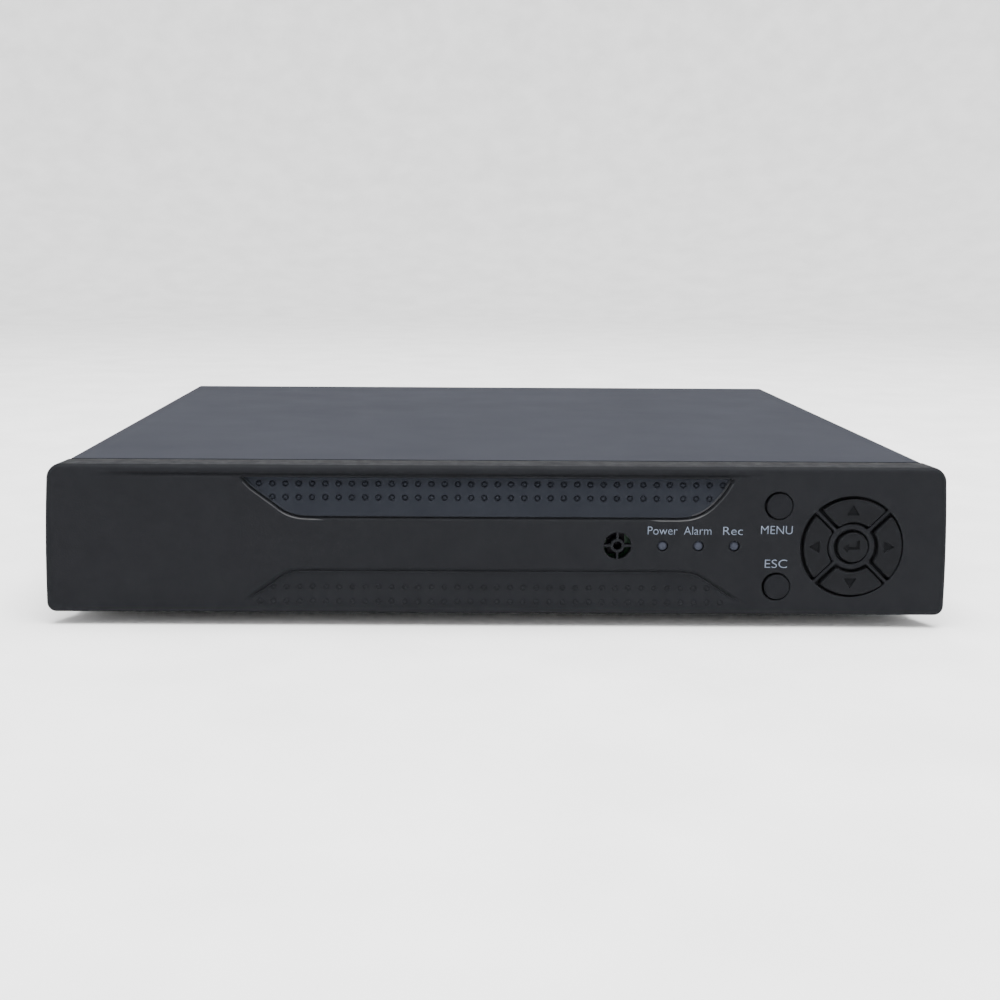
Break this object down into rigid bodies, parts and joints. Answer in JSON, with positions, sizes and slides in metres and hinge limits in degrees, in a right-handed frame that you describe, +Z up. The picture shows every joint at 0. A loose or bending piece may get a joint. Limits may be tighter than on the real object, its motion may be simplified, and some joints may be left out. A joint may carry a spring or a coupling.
{
  "type": "digital video recorder",
  "caption": "Flat desktop digital video recorder: black moulded bezel with menu keys and arrow pad, folded steel case, rear sockets, boards, drive and fan inside.",
  "frame": {"origin": "middle of the footprint, on the surface that the rubber feet stand on", "axes": "+Z up, front panel faces -Y, rear sockets face +Y, +X to the right seen from the front"},
  "size_m": [0.27, 0.232, 0.049],
  "materials": {
    "bezel_plastic": "fine spark-eroded texture, satin black",
    "key_plastic": "smooth matt black",
    "cover_paint": "smooth satin black paint on folded steel",
    "tray_steel": "satin black paint on folded steel",
    "screw_black": "black oxide",
    "rubber": "matt",
    "light_lens": "unlit grey-blue epoxy lens",
    "dark_window": "dark infrared window",
    "board_green": "solder-masked glass-epoxy",
    "switch_metal": "tinned steel",
    "switch_stem": "moulded",
    "screw_steel": "zinc plated",
    "lead_white": "off-white nylon",
    "brass": "turned",
    "chip_black": "moulded epoxy",
    "black_aluminium": "black anodised",
    "part_grey": "sleeved and moulded parts",
    "connector_black": "moulded",
    "bright_metal": "bright",
    "nickel": "nickel plated",
    "insulator_white": "white insulator",
    "gold": "gold plated",
    "vga_blue": "blue moulded",
    "cast_aluminium": "die cast",
    "cable_red": "red insulation",
    "cable_black": "black insulation",
    "fan_plastic": "moulded"
  },
  "bodies": {
    "case": {"front_bezel": "bezel_plastic", "top_cover": "cover_paint", "chassis_tray": "tray_steel", "cover_screws": "screw_black", "rubber_feet": "rubber", "indicator_lights": "light_lens", "remote_receiver": "dark_window", "key_board": "board_green", "key_switches": "switch_metal", "key_board_screws": "screw_steel", "key_lead": "lead_white", "main_board": "board_green", "board_standoffs": "brass", "board_screws": "screw_steel", "processor": "chip_black", "heat_sink": "black_aluminium", "board_chips": "chip_black", "power_parts": "part_grey", "battery_holder": "connector_black", "clock_battery": "bright_metal", "buzzer": "connector_black", "board_headers": "lead_white", "video_housing": "connector_black", "video_shells": "nickel", "video_insulators": "insulator_white", "audio_housing": "connector_black", "audio_shells": "nickel", "vga_shell": "nickel", "vga_insulator": "vga_blue", "vga_jack_screws": "nickel", "hdmi_socket": "nickel", "usb_socket": "nickel", "socket_tongues": "connector_black", "lan_socket": "nickel", "signal_contacts": "gold", "power_inlet": "connector_black", "drive_casting": "cast_aluminium", "drive_lid": "bright_metal", "drive_board": "board_green", "drive_screws": "screw_steel", "drive_data_cable": "cable_red", "drive_power_cable": "cable_black", "fan_frame": "connector_black", "fan_screws": "screw_steel", "fan_lead": "cable_red"},
    "menu_key_body": {"menu_button": "key_plastic", "menu_plunger": "switch_stem"},
    "esc_key_body": {"esc_button": "key_plastic", "esc_plunger": "switch_stem"},
    "up_key_body": {"up_key": "key_plastic", "up_plunger": "switch_stem"},
    "down_key_body": {"down_key": "key_plastic", "down_plunger": "switch_stem"},
    "left_key_body": {"left_key": "key_plastic", "left_plunger": "switch_stem"},
    "right_key_body": {"right_key": "key_plastic", "right_plunger": "switch_stem"},
    "enter_key_body": {"enter_key": "key_plastic", "enter_plunger": "switch_stem"},
    "fan_wheel": {"fan_rotor": "fan_plastic"}
  },
  "joints": [
    {"name": "menu_press", "type": "slide", "parent": "case", "child": "menu_key_body", "axis": [0, 1, 0], "range_m": [0, 0.0003], "stiffness_N_per_m": 1500, "springref_m": -0.0001},
    {"name": "esc_press", "type": "slide", "parent": "case", "child": "esc_key_body", "axis": [0, 1, 0], "range_m": [0, 0.0003], "stiffness_N_per_m": 1500, "springref_m": -0.0001},
    {"name": "up_press", "type": "slide", "parent": "case", "child": "up_key_body", "axis": [0, 1, 0], "range_m": [0, 0.0003], "stiffness_N_per_m": 1500, "springref_m": -0.0001},
    {"name": "down_press", "type": "slide", "parent": "case", "child": "down_key_body", "axis": [0, 1, 0], "range_m": [0, 0.0003], "stiffness_N_per_m": 1500, "springref_m": -0.0001},
    {"name": "left_press", "type": "slide", "parent": "case", "child": "left_key_body", "axis": [0, 1, 0], "range_m": [0, 0.0003], "stiffness_N_per_m": 1500, "springref_m": -0.0001},
    {"name": "right_press", "type": "slide", "parent": "case", "child": "right_key_body", "axis": [0, 1, 0], "range_m": [0, 0.0003], "stiffness_N_per_m": 1500, "springref_m": -0.0001},
    {"name": "enter_press", "type": "slide", "parent": "case", "child": "enter_key_body", "axis": [0, 1, 0], "range_m": [0, 0.0003], "stiffness_N_per_m": 1500, "springref_m": -0.0001},
    {"name": "fan_spin", "type": "hinge", "parent": "case", "child": "fan_wheel", "pos_m": [-0.107, 0.0988, 0.0262], "axis": [0, 1, 0], "continuous": true}
  ]
}
